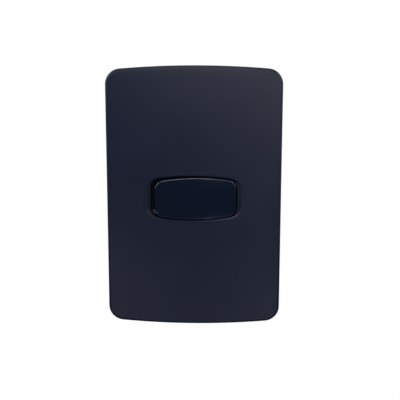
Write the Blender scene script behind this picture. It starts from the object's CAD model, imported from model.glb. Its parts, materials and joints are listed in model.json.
# Rocker wall switch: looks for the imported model.
# Blender works in metres; sizes and places below are in millimetres, scaled by MM, unless they say so.
import json
import math
import bmesh
import bpy
from mathutils import Matrix, Vector


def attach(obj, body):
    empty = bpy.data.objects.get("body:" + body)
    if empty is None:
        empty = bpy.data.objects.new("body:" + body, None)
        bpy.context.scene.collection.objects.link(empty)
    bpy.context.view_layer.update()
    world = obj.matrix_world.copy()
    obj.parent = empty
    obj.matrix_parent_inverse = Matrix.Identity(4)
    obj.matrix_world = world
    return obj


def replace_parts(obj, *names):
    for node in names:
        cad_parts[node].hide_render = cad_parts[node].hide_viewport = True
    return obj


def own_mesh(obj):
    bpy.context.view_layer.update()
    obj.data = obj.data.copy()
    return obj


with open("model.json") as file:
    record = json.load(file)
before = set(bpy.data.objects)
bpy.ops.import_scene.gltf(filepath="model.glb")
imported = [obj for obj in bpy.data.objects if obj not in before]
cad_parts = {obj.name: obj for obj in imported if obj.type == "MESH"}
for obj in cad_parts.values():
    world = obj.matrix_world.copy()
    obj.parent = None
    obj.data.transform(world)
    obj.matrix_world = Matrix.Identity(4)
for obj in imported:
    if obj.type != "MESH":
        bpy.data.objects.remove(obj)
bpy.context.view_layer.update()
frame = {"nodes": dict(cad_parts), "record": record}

MM = 0.001
nodes = frame["nodes"]


# ---------- outlines and rings ----------

SIDE_STEPS, CORNER_STEPS, ARCH_STEPS = 14, 14, 30   # in a quarter of an outline


def outline(half_x, half_z, arch, corner):
    """A rectangle with arched top and bottom and round corners, as (x, z), all the way round."""
    arch_r = (half_x * half_x + arch * arch) / (2 * arch)
    corner_z = half_z - arch_r + math.sqrt((arch_r - corner) ** 2 - (half_x - corner) ** 2)
    turn = math.atan2(corner_z - half_z + arch_r, half_x - corner)
    quarter = [(half_x, corner_z * i / SIDE_STEPS) for i in range(SIDE_STEPS)]
    for i in range(CORNER_STEPS):
        a = turn * i / CORNER_STEPS
        quarter.append((half_x - corner + corner * math.cos(a), corner_z + corner * math.sin(a)))
    for i in range(ARCH_STEPS + 1):
        a = turn + (math.pi / 2 - turn) * i / ARCH_STEPS
        x = 0.0 if i == ARCH_STEPS else arch_r * math.cos(a)
        quarter.append((x, half_z - arch_r + arch_r * math.sin(a)))
    top_left = [(-x, z) for x, z in reversed(quarter[:-1])]
    bottom_left = [(-x, -z) for x, z in quarter[1:]]
    bottom_right = [(x, -z) for x, z in reversed(quarter[1:-1])]
    return quarter + top_left + bottom_left + bottom_right


def ring(half_x, half_z, arch, corner, y, fall=0.0, span=1.0):
    """An outline at depth y, curving back with x so that it lies deeper by fall at x = span."""
    return [Vector((x, y + fall * (x / span) ** 2, z)) for x, z in outline(half_x, half_z, arch, corner)]


def between(first, second, share, y, fall, span):
    """A ring that is some share of the way from one ring to another, at its own depth."""
    points = []
    for p, q in zip(first, second):
        x, z = p.x * (1 - share) + q.x * share, p.z * (1 - share) + q.z * share
        points.append(Vector((x, y + fall * (x / span) ** 2, z)))
    return points


def circle(radius, y, x, z, steps):
    """A round ring about an axis along Y through (x, z)."""
    angles = [2 * math.pi * i / steps for i in range(steps)]
    return [Vector((x + radius * math.cos(a), y, z + radius * math.sin(a))) for a in angles]


# ---------- meshes ----------

def add(name, data):
    """A new object in the scene."""
    ob = bpy.data.objects.new(name, data)
    bpy.context.scene.collection.objects.link(ob)
    return ob


def skin(name, rings, closed=False, angle=32.0, turn=None):
    """A smooth mesh through rings of points, closed on itself or capped at each end."""
    count = len(rings[0])
    verts = [p for points in rings for p in points]
    faces = []
    for j in range(len(rings) if closed else len(rings) - 1):
        a, b = j * count, ((j + 1) % len(rings)) * count
        for i in range(count):
            k = (i + 1) % count
            faces.append((a + i, b + i, b + k, a + k))
    if not closed:
        for j, flip in ((0, False), (len(rings) - 1, True)):
            verts.append(sum(rings[j], Vector()) / count)
            for i in range(count):
                face = (len(verts) - 1, j * count + i, j * count + (i + 1) % count)
                faces.append(tuple(reversed(face)) if flip else face)
    if turn is not None:
        verts = [turn @ v for v in verts]
    mesh = bpy.data.meshes.new(name)
    mesh.from_pydata([tuple(v * MM) for v in verts], [], faces)
    mesh.update()
    mesh.shade_smooth()
    mesh.set_sharp_from_angle(angle=math.radians(angle))
    return add(name, mesh)


def face_outward(ob):
    """Turns every face of a closed piece outward."""
    bm = bmesh.new()
    bm.from_mesh(ob.data)
    bmesh.ops.recalc_face_normals(bm, faces=bm.faces)
    bm.to_mesh(ob.data)
    bm.free()


def block(name, x0, x1, y0, y1, z0, z1):
    """A closed box, used as a rib or to cut a slot."""
    bm = bmesh.new()
    bmesh.ops.create_cube(bm, size=1.0)
    for v in bm.verts:
        v.co = Vector(((x0 + x1) / 2 + v.co.x * (x1 - x0), (y0 + y1) / 2 + v.co.y * (y1 - y0),
                       (z0 + z1) / 2 + v.co.z * (z1 - z0))) * MM
    mesh = bpy.data.meshes.new(name)
    bm.to_mesh(mesh)
    bm.free()
    return add(name, mesh)


def cut(ob, cutter):
    """Cuts another object out of a piece for good, and removes it."""
    mod = ob.modifiers.new("cut", "BOOLEAN")
    mod.object, mod.operation, mod.solver = cutter, "DIFFERENCE", "EXACT"
    mesh = bpy.data.meshes.new_from_object(ob.evaluated_get(bpy.context.evaluated_depsgraph_get()))
    ob.modifiers.clear()
    ob.data = mesh
    bpy.data.objects.remove(cutter)
    mesh.set_sharp_from_angle(angle=math.radians(35))


def soften(ob, width):
    """Rounds a machined or moulded piece's hard edges, so that they catch the light."""
    mod = ob.modifiers.new("soft_edges", "BEVEL")
    mod.width, mod.segments = width * MM, 3
    mod.limit_method, mod.angle_limit = "ANGLE", math.radians(40)
    mod.use_clamp_overlap = True
    mod.harden_normals = True


# ---------- materials ----------

TONE = 0.12                 # share by which the colour drifts either way
DRIFT_SCALE, PATCH_SCALE = 45.0, 160.0          # noise per metre: colour drift, roughness patches
HAIR_SCALE, HAIR_STRETCH = 900.0, (1.0, 1.0, 0.03)
COAT_ROUGH, LEAST_ROUGH = 0.06, 0.02


def material(name, color, rough, grain, grain_height, metal=0.0, coat=0.0, spec=0.5, rough_span=0.08,
             scratches=0.0):
    """Moulded or metal surface: colour drift, uneven roughness, fine grain and, if asked, scratches."""
    made = bpy.data.materials.new(name)
    made.use_nodes = True
    tree = made.node_tree
    tree.nodes.clear()
    join = tree.links.new
    out = tree.nodes.new("ShaderNodeOutputMaterial")
    bsdf = tree.nodes.new("ShaderNodeBsdfPrincipled")
    join(bsdf.outputs[0], out.inputs[0])
    bsdf.inputs["Metallic"].default_value = metal
    bsdf.inputs["Coat Weight"].default_value = coat
    bsdf.inputs["Coat Roughness"].default_value = COAT_ROUGH
    bsdf.inputs["Specular IOR Level"].default_value = spec
    place = tree.nodes.new("ShaderNodeTexCoord").outputs["Object"]

    def noise(scale, detail, where=place):
        made_noise = tree.nodes.new("ShaderNodeTexNoise")
        made_noise.inputs["Scale"].default_value = scale
        made_noise.inputs["Detail"].default_value = detail
        join(where, made_noise.inputs[0])
        return made_noise.outputs["Fac"]

    def ramp(source, start, end):
        made_ramp = tree.nodes.new("ShaderNodeValToRGB")
        low, high = made_ramp.color_ramp.elements
        low.position, high.position = start, end
        join(source, made_ramp.inputs[0])
        return made_ramp

    def bump(source, height):
        made_bump = tree.nodes.new("ShaderNodeBump")
        made_bump.inputs["Strength"].default_value = 1.0
        made_bump.inputs["Distance"].default_value = height * MM
        join(source, made_bump.inputs["Height"])
        return made_bump

    drift = ramp(noise(DRIFT_SCALE, 4.0), 0.3, 0.7)
    drift.color_ramp.elements[0].color = (*[c * (1 - TONE) for c in color], 1)
    drift.color_ramp.elements[1].color = (*[min(1.0, c * (1 + TONE)) for c in color], 1)
    join(drift.outputs[0], bsdf.inputs["Base Color"])

    patches = tree.nodes.new("ShaderNodeMapRange")
    patches.inputs["To Min"].default_value = max(LEAST_ROUGH, rough - rough_span)
    patches.inputs["To Max"].default_value = min(1.0, rough + rough_span)
    join(noise(PATCH_SCALE, 5.0), patches.inputs[0])
    join(patches.outputs[0], bsdf.inputs["Roughness"])

    relief = bump(noise(grain, 2.0), grain_height)
    if scratches:
        stretch = tree.nodes.new("ShaderNodeMapping")
        stretch.inputs["Scale"].default_value = HAIR_STRETCH
        join(place, stretch.inputs[0])
        hairlines = ramp(noise(HAIR_SCALE, 2.0, stretch.outputs[0]), 0.70, 0.74)
        scratched = bump(hairlines.outputs[0], scratches)
        scratched.invert = True
        join(relief.outputs[0], scratched.inputs["Normal"])
        relief = scratched
    join(relief.outputs[0], bsdf.inputs["Normal"])
    return made


MAT = {
    "plate": material("plate_matte_navy", (0.0062, 0.0090, 0.0250), 0.36, 3800, 0.009, spec=0.25,
                      rough_span=0.05),
    "key": material("key_gloss_black", (0.0018, 0.0050, 0.0148), 0.10, 700, 0.0008, coat=0.3,
                    rough_span=0.03, scratches=0.0006),
    "cover_housing": material("housing_gloss_navy", (0.0085, 0.0110, 0.0260), 0.30, 1500, 0.003),
    "base_housing": material("housing_grey", (0.035, 0.037, 0.042), 0.55, 3000, 0.012),
    "frame": material("frame_grey", (0.060, 0.063, 0.070), 0.58, 3000, 0.014),
    "cradle": material("cradle_graphite", (0.032, 0.032, 0.037), 0.50, 3000, 0.008),
    "nylon": material("plunger_nylon", (0.52, 0.50, 0.44), 0.38, 3000, 0.006),
    "steel": material("zinc_steel", (0.60, 0.61, 0.62), 0.32, 1800, 0.006, metal=1.0),
    "brass": material("brass", (0.70, 0.50, 0.20), 0.30, 1800, 0.005, metal=1.0),
    "silver": material("contact_silver", (0.80, 0.80, 0.78), 0.26, 2200, 0.004, metal=1.0),
}


def paint(ob, slot):
    """Gives a whole piece one material and its slot."""
    ob.data.materials.clear()
    ob.data.materials.append(MAT[slot])
    for p in ob.data.polygons:
        p.material_index = 0


EDGE_WIDTH = {"module_cover": 0.20, "module_base": 0.30, "mounting_frame": 0.25, "rocker_cradle": 0.20}
slot_of = {s["node"]: s["material_slot"] for s in frame["record"]["subparts"]}
for name, ob in nodes.items():
    paint(ob, slot_of[name])
    if name in EDGE_WIDTH:
        soften(ob, EDGE_WIDTH[name])


# ---------- painted pieces ----------

def lathe(name, profile, x, z, slot_name, body, closed=False):
    """A turned piece along Y at (x, z), from a list of (radius, depth); closed makes it a ring."""
    ob = skin(name, [circle(r, y, x, z, 48) for r, y in profile], closed=closed, angle=35.0)
    face_outward(ob)
    paint(ob, slot_name)
    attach(ob, body)
    return ob


def rib(name, slot_name, edge_width, *box):
    """A moulded rib on the housing with soft edges."""
    ob = block(name, *box)
    paint(ob, slot_name)
    soften(ob, edge_width)
    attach(ob, "housing")
    return ob


# ---------- cover plate ----------

PLATE_X, PLATE_Z, ARCH, CORNER = 40.0, 60.0, 2.0, 7.1
FRONT, CROWN, EDGE, WALL = -9.0, 0.45, 1.4, 1.9
RIM = 0.15                  # small chamfer round the rim on the wall
LIP_X, LIP_Z, LIP_ARCH, LIP_R = 21.8, 10.45, 1.85, 5.7
LIP_ROUND, LIP_TURN = 0.35, 50          # radius, and degrees turned before the bevel starts
HOLE_X, HOLE_Z, HOLE_ARCH, HOLE_R = 20.9, 9.95, 1.70, 5.1
BEVEL_DEPTH = 0.6
INNER = FRONT + WALL
EDGE_STEPS, FACE_STEPS, LIP_STEPS = 12, 24, 6


def plate_outside():
    """From the rim on the wall, forward along the side and round the front edge."""
    rings = [ring(PLATE_X - RIM, PLATE_Z - RIM, ARCH, CORNER - RIM, 0.0),
             ring(PLATE_X, PLATE_Z, ARCH, CORNER, -RIM)]
    rings += [ring(PLATE_X, PLATE_Z, ARCH, CORNER, y) for y in (-1.5, -3.0, -4.5, -5.8)]
    for i in range(EDGE_STEPS + 1):
        t = math.radians(90 * i / EDGE_STEPS)
        s, d = EDGE * (1 - math.cos(t)), EDGE * (1 - math.sin(t))
        rings.append(ring(PLATE_X - s, PLATE_Z - s, ARCH, CORNER - s, FRONT + d, CROWN, PLATE_X))
    return rings


def plate_face(edge):
    """From the front edge across the face, over the rounded lip and down the bevel into the hole."""
    near = ring(LIP_X + LIP_ROUND, LIP_Z + LIP_ROUND, LIP_ARCH, LIP_R + LIP_ROUND, FRONT, CROWN, PLATE_X)
    rings = [between(edge, near, i / FACE_STEPS, FRONT, CROWN, PLATE_X) for i in range(1, FACE_STEPS)]
    rings.append(near)
    fall = CROWN * (LIP_X / PLATE_X) ** 2
    for i in range(1, LIP_STEPS + 1):
        t = math.radians(LIP_TURN * i / LIP_STEPS)
        grow = LIP_ROUND - LIP_ROUND * math.sin(t) / math.sin(math.radians(LIP_TURN))
        rings.append(ring(LIP_X + grow, LIP_Z + grow * 0.8, LIP_ARCH, LIP_R + grow,
                          FRONT + LIP_ROUND * (1 - math.cos(t)), fall, LIP_X))
    start = LIP_ROUND * (1 - math.cos(math.radians(LIP_TURN)))
    for f in (0.25, 0.5, 0.75, 1.0):
        rings.append(ring(LIP_X + (HOLE_X - LIP_X) * f, LIP_Z + (HOLE_Z - LIP_Z) * f,
                          LIP_ARCH + (HOLE_ARCH - LIP_ARCH) * f, LIP_R + (HOLE_R - LIP_R) * f,
                          FRONT + start + (BEVEL_DEPTH - start) * f, fall * (1 - f), LIP_X))
    rings += [ring(HOLE_X, HOLE_Z, HOLE_ARCH, HOLE_R, y) for y in (FRONT + 0.75, FRONT + 1.5, INNER)]
    return rings


def plate_inside(back):
    """From the back of the hole, out behind the face and back along the wall to the rim."""
    x, z, r = PLATE_X - WALL, PLATE_Z - WALL, CORNER - WALL
    shoulder = ring(x - 0.3, z - 0.3, ARCH, r, INNER, CROWN, PLATE_X)
    rings = [between(back, shoulder, t, INNER, CROWN, PLATE_X) for t in (0.02, 0.3, 0.6, 0.9)]
    return rings + [shoulder, ring(x, z, ARCH, r, INNER + 1.2), ring(x, z, ARCH, r, -RIM),
                    ring(x + RIM, z + RIM, ARCH, r + RIM, 0.0)]


rings = plate_outside()
rings += plate_face(rings[-1])
rings += plate_inside(rings[-1])
plate = skin("cover_plate", rings, closed=True)
paint(plate, "plate")
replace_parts(plate, "face_plate")
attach(plate, "housing")

POST_X, POST_Z, POST_R = 29.0, 39.0, 2.2
POST_PROFILE = [(3.0, INNER - 0.1), (2.7, INNER + 0.35), (2.35, INNER + 0.8), (POST_R, INNER + 1.2),
                (POST_R, -0.9), (POST_R - 0.1, -0.7), (POST_R - 0.55, -0.25), (POST_R - 0.7, -0.2)]
HALF_RIB, RIB_ROOT = 0.6, INNER - 0.3           # half a rib's thickness, and where it starts in the plate
CROSS_X, CROSS_Z, UPRIGHT_Z = 30, 16.5, 37.0

fine_parts = []
for left_right, sx in (("left", -1), ("right", 1)):
    for top_bottom, sz in (("bottom", -1), ("top", 1)):
        fine_parts.append(lathe("snap_post_%s_%s" % (left_right, top_bottom), POST_PROFILE,
                                sx * POST_X, sz * POST_Z, "plate", "housing"))
for side, sz in (("top", 1), ("bottom", -1)):
    z = sz * CROSS_Z
    fine_parts.append(rib("cross_rib_" + side, "plate", 0.2, -CROSS_X, CROSS_X, RIB_ROOT, INNER + 1.2,
                          z - HALF_RIB, z + HALF_RIB))
    z = sz * UPRIGHT_Z
    fine_parts.append(rib("upright_rib_" + side, "plate", 0.2, -HALF_RIB, HALF_RIB, RIB_ROOT, INNER + 1.1,
                          z - 20.5, z + 17))
for piece in fine_parts:
    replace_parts(piece, "face_plate")

# ---------- wall box screws ----------

SCREW_Z, SCREW_STEPS = 41.75, 32
THREAD_R, THREAD_DEPTH, PITCH = 1.75, 0.32, 0.7
THREAD_START, THREAD_END, THREAD_LEAD = 1.0, 25.2, 0.8
CORE_R = THREAD_R - THREAD_DEPTH
HEAD_PROFILE = [(2.4, -3.5), (2.95, -3.44), (3.28, -3.25), (3.4, -2.95), (3.4, -1.80), (3.28, -1.62),
                (1.95, -1.62), (1.9, -1.55), (1.9, 0.45), (1.75, 0.6), (CORE_R, 0.8)]
TIP_PROFILE = [(1.40, 25.45), (1.1, 26.0)]
SLOT_X, SLOT_FRONT, SLOT_FLOOR, HALF_SLOT = 2.7, -4.5, -2.6, 0.45


def thread_radius(y, a):
    """A rounded V thread of one start."""
    f = (y / PITCH - a / (2 * math.pi)) % 1.0
    return THREAD_R - THREAD_DEPTH * min(1.0, 2.3 * abs(f - 0.5))


def threaded_screw(name, z):
    """A slotted pan head screw with a modelled thread, its point behind the wall."""
    angles = [2 * math.pi * i / SCREW_STEPS for i in range(SCREW_STEPS)]
    rings = [circle(r, y, 0, z, SCREW_STEPS) for r, y in HEAD_PROFILE]
    length = THREAD_END - THREAD_START
    count = int(length / (PITCH / 8))
    for j in range(count + 1):
        y = THREAD_START + length * j / count
        lead = min(1.0, (y - THREAD_START) / THREAD_LEAD)
        radii = [CORE_R + (thread_radius(y, a) - CORE_R) * lead for a in angles]
        rings.append([Vector((r * math.cos(a), y, z + r * math.sin(a))) for a, r in zip(angles, radii)])
    rings += [circle(r, y, 0, z, SCREW_STEPS) for r, y in TIP_PROFILE]
    ob = skin(name, rings, angle=50)
    face_outward(ob)
    cut(ob, block("slot", -SLOT_X, SLOT_X, SLOT_FRONT, SLOT_FLOOR, z - HALF_SLOT, z + HALF_SLOT))
    paint(ob, "steel")
    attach(ob, "housing")
    return ob


for name, sz in (("box_screw_top", 1), ("box_screw_bottom", -1)):
    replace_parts(threaded_screw(name + "_threaded", sz * SCREW_Z), name)

# ---------- rear housing details ----------

BASE_TOP, GRIP_FRONT, GRIP_BACK = 11.05, 5.0, 23.5
GRIP_COUNT, GRIP_STEP, GRIP_HEIGHT, HALF_GRIP = 5, 6.0, 0.40, 0.6
WIRE_X, HOUSING_BACK = 16.5, 25.0
COLLAR_PROFILE = [(2.25, HOUSING_BACK - 0.1), (3.5, HOUSING_BACK - 0.1), (3.5, HOUSING_BACK + 0.2),
                  (3.3, HOUSING_BACK + 0.4), (2.75, HOUSING_BACK + 0.4), (2.25, HOUSING_BACK)]

for side, sz in (("top", 1), ("bottom", -1)):
    low, high = sorted((sz * (BASE_TOP - 0.1), sz * (BASE_TOP + GRIP_HEIGHT)))
    for i in range(GRIP_COUNT):
        x = (i - GRIP_COUNT // 2) * GRIP_STEP
        rib("grip_rib_%s_%d" % (side, i), "base_housing", 0.25, x - HALF_GRIP, x + HALF_GRIP,
            GRIP_FRONT, GRIP_BACK, low, high)
for side, sx in (("left", -1), ("right", 1)):
    lathe("wire_collar_" + side, COLLAR_PROFILE, sx * WIRE_X, 0.0, "base_housing", "housing", closed=True)

# ---------- rocker key ----------

TILT = math.radians(5)
PIVOT = Vector((0, 1.2, 0))
rocked = Matrix.Translation(PIVOT) @ Matrix.Rotation(TILT, 4, "Z") @ Matrix.Translation(-PIVOT)
KEY_X, KEY_Z, KEY_ARCH = 19.3, 9.65, 1.8
CAP_BACK, CAP_FRONT, CAP_ROOF = -3.6, -9.4, -8.7
CAP_EDGE, CAP_CROWN, CAP_FALL = 0.8, 0.2, 0.2   # front edge's depth, rise to the middle, fall to the ends


def key_rings():
    """The hollow cap: inside of the roof first, then out round the foot and up to the face."""
    inner = [ring(4, 2.2, 0.4, 1, CAP_ROOF), ring(KEY_X - 2.4, KEY_Z - 1.8, KEY_ARCH, 2.4, CAP_ROOF),
             ring(KEY_X - 2.15, KEY_Z - 1.55, KEY_ARCH, 2.6, CAP_ROOF + 0.2),
             ring(KEY_X - 1.32, KEY_Z - 1.36, KEY_ARCH, 2.8, CAP_BACK - 0.1),
             ring(KEY_X - 1.25, KEY_Z - 1.3, KEY_ARCH, 2.8, CAP_BACK)]
    foot = [ring(KEY_X + dx, KEY_Z + dz, KEY_ARCH, r, y) for dx, dz, r, y in (
        (-0.1, -0.2, 4.1, -3.6), (0.0, -0.1, 4.2, -3.7), (0.0, -0.1, 4.2, -4.6),
        (0.38, -0.07, 4.3, -4.6), (0.45, -0.05, 4.3, -4.68), (0.45, -0.05, 4.3, -5.26),
        (0.38, -0.04, 4.3, -5.37), (0.25, -0.03, 4.3, -5.4), (0.08, -0.01, 4.2, -5.42),
        (0.0, 0.0, 4.2, -5.5))]
    side = [ring(KEY_X - 0.6 * f, KEY_Z - 0.02 * f, KEY_ARCH, 4.2 - 0.1 * f, -5.5 - 3.9 * f)
            for f in (0.3, 0.6, 0.9, 1.0)]
    edge = []
    for i in range(1, EDGE_STEPS + 1):   # rounded front edge, wider along the ends than along the top
        t = math.radians(90 * i / EDGE_STEPS)
        sx, sz, d = 0.85 * (1 - math.cos(t)), 0.40 * (1 - math.cos(t)), CAP_EDGE * math.sin(t)
        edge.append(ring(KEY_X - 0.6 - sx, KEY_Z - 0.02 - sz, KEY_ARCH, 4.1 - sx * 0.7, CAP_FRONT - d,
                         CAP_FALL * i / EDGE_STEPS, KEY_X))
    front = CAP_FRONT - CAP_EDGE
    centre = ring(4, 2.2, 0.4, 1, front, CAP_FALL, KEY_X)
    face = [between(edge[-1], centre, f, front - CAP_CROWN * (1 - (1 - f) ** 2), CAP_FALL, KEY_X)
            for f in (0.04, 0.1, 0.18, 0.28, 0.4, 0.55, 0.7, 0.85, 1.0)]
    return inner + foot + side + edge + face


key = skin("rocker_key_cap", key_rings(), angle=40, turn=rocked)
paint(key, "key")
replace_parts(key, "rocker_key")
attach(key, "rocker")

# ---------- plunger spring ----------

COILS, COIL_STEPS, COIL_R = 6, 28, 1.45
WIRE, WIRE_STEPS, WIRE_GAP = 0.22, 12, 0.02
SPRING_FRONT, SPRING_BACK = -2.6, 2.4


def coil_rings():
    """Rings of wire along the helix, each in a plane through the coil's axis."""
    start, end = SPRING_FRONT + WIRE + WIRE_GAP, SPRING_BACK - WIRE - WIRE_GAP
    steps = COILS * COIL_STEPS
    rings = []
    for j in range(steps + 1):
        a, y = 2 * math.pi * COILS * j / steps, start + (end - start) * j / steps
        section = [2 * math.pi * i / WIRE_STEPS for i in range(WIRE_STEPS)]
        rings.append([Vector(((COIL_R + WIRE * math.cos(b)) * math.cos(a), y + WIRE * math.sin(b),
                              (COIL_R + WIRE * math.cos(b)) * math.sin(a))) for b in section])
    return rings


spring = skin("spring_coil", coil_rings(), turn=rocked, angle=60)
paint(spring, "steel")
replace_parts(spring, "plunger_spring")
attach(spring, "rocker")
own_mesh(spring)

# ---------- stage (in metres) ----------

FLOOR_HALF, FLOOR_Z = 3.0, -0.16
scene = bpy.context.scene
scene.view_settings.view_transform = "Standard"


def white_floor():
    """A floor that only the camera sees: it neither lights the part nor shadows it."""
    mesh = bpy.data.meshes.new("floor")
    corners = [(x * FLOOR_HALF, y * FLOOR_HALF, FLOOR_Z) for x, y in ((-1, -1), (1, -1), (1, 1), (-1, 1))]
    mesh.from_pydata(corners, [], [(0, 1, 2, 3)])
    white = bpy.data.materials.new("floor_white")
    white.use_nodes = True
    tree = white.node_tree
    tree.nodes.clear()
    glow = tree.nodes.new("ShaderNodeEmission")
    glow.inputs["Strength"].default_value = 1.0
    out = tree.nodes.new("ShaderNodeOutputMaterial")
    tree.links.new(glow.outputs[0], out.inputs[0])
    mesh.materials.append(white)
    floor = add("floor", mesh)
    floor.visible_glossy = False
    floor.visible_diffuse = False
    floor.visible_shadow = False
    return floor


def studio_world():
    """White where the camera looks past the part, and a faint blue light on the part itself."""
    world = bpy.data.worlds.new("studio")
    scene.world = world
    world.use_nodes = True
    tree = world.node_tree
    tree.nodes.clear()
    out = tree.nodes.new("ShaderNodeOutputWorld")
    seen = tree.nodes.new("ShaderNodeBackground")
    lit = tree.nodes.new("ShaderNodeBackground")
    mix = tree.nodes.new("ShaderNodeMixShader")
    ray = tree.nodes.new("ShaderNodeLightPath")
    seen.inputs[0].default_value = (1, 1, 1, 1)
    lit.inputs[0].default_value = (0.80, 0.88, 1.0, 1)
    lit.inputs[1].default_value = 0.055
    tree.links.new(ray.outputs["Is Camera Ray"], mix.inputs[0])
    tree.links.new(lit.outputs[0], mix.inputs[1])
    tree.links.new(seen.outputs[0], mix.inputs[2])
    tree.links.new(mix.outputs[0], out.inputs[0])


def softbox(name, at, size, power):
    """A rectangular light aimed at the middle of the plate, unseen by the camera."""
    data = bpy.data.lights.new(name, "AREA")
    data.shape, data.size, data.size_y = "RECTANGLE", size[0], size[1]
    data.energy = power
    ob = add(name, data)
    ob.location = at
    ob.rotation_euler = (Vector() - Vector(at)).to_track_quat("-Z", "Y").to_euler()
    ob.visible_camera = False


floor = white_floor()
studio_world()
softbox("front_soft", (0.0, -0.32, 0.14), (0.14, 0.09), 0.27)
softbox("right_soft", (0.13, -0.32, 0.05), (0.14, 0.09), 0.13)
softbox("low_front", (0.0, -0.57, -0.40), (0.28, 0.18), 0.20)
softbox("low_left", (-0.14, -0.32, -0.16), (0.12, 0.09), 0.07)
softbox("low_right", (0.12, -0.32, -0.17), (0.12, 0.09), 0.06)
softbox("high_front", (0.0, -0.45, 0.54), (0.80, 0.20), 1.3)
softbox("overhead", (0.0, -0.15, 0.69), (0.28, 0.18), 0.7)
softbox("corner_right", (0.455, -0.38, 0.37), (0.2, 0.2), 0.95)
softbox("corner_left", (-0.455, -0.38, 0.37), (0.2, 0.2), 0.95)
softbox("side_right", (0.80, -0.25, 0.20), (0.3, 0.5), 1.5)
softbox("side_left", (-0.80, -0.25, 0.20), (0.3, 0.5), 1.5)
softbox("back_soft", (-0.35, 0.85, 0.15), (0.9, 0.9), 7.0)
softbox("back_right", (0.60, 0.70, 0.10), (0.6, 0.6), 3.0)

# ---------- camera (in metres) ----------

AZIMUTH, ELEVATION, DISTANCE = math.radians(1.48), math.radians(9.65), 0.3368
target = Vector((0, -0.006, 0))
look = Vector((-math.sin(AZIMUTH) * math.cos(ELEVATION), math.cos(AZIMUTH) * math.cos(ELEVATION),
               -math.sin(ELEVATION)))
cam_data = bpy.data.cameras.new("camera")
cam_data.sensor_width = 36.0
cam_data.lens = 65.68
cam_data.shift_x, cam_data.shift_y = 0.0152, -0.0066
cam_data.clip_start, cam_data.clip_end = 0.005, 50.0
cam = add("camera", cam_data)
cam.location = target - look * DISTANCE
cam.rotation_euler = look.to_track_quat("-Z", "Y").to_euler()
scene.camera = cam
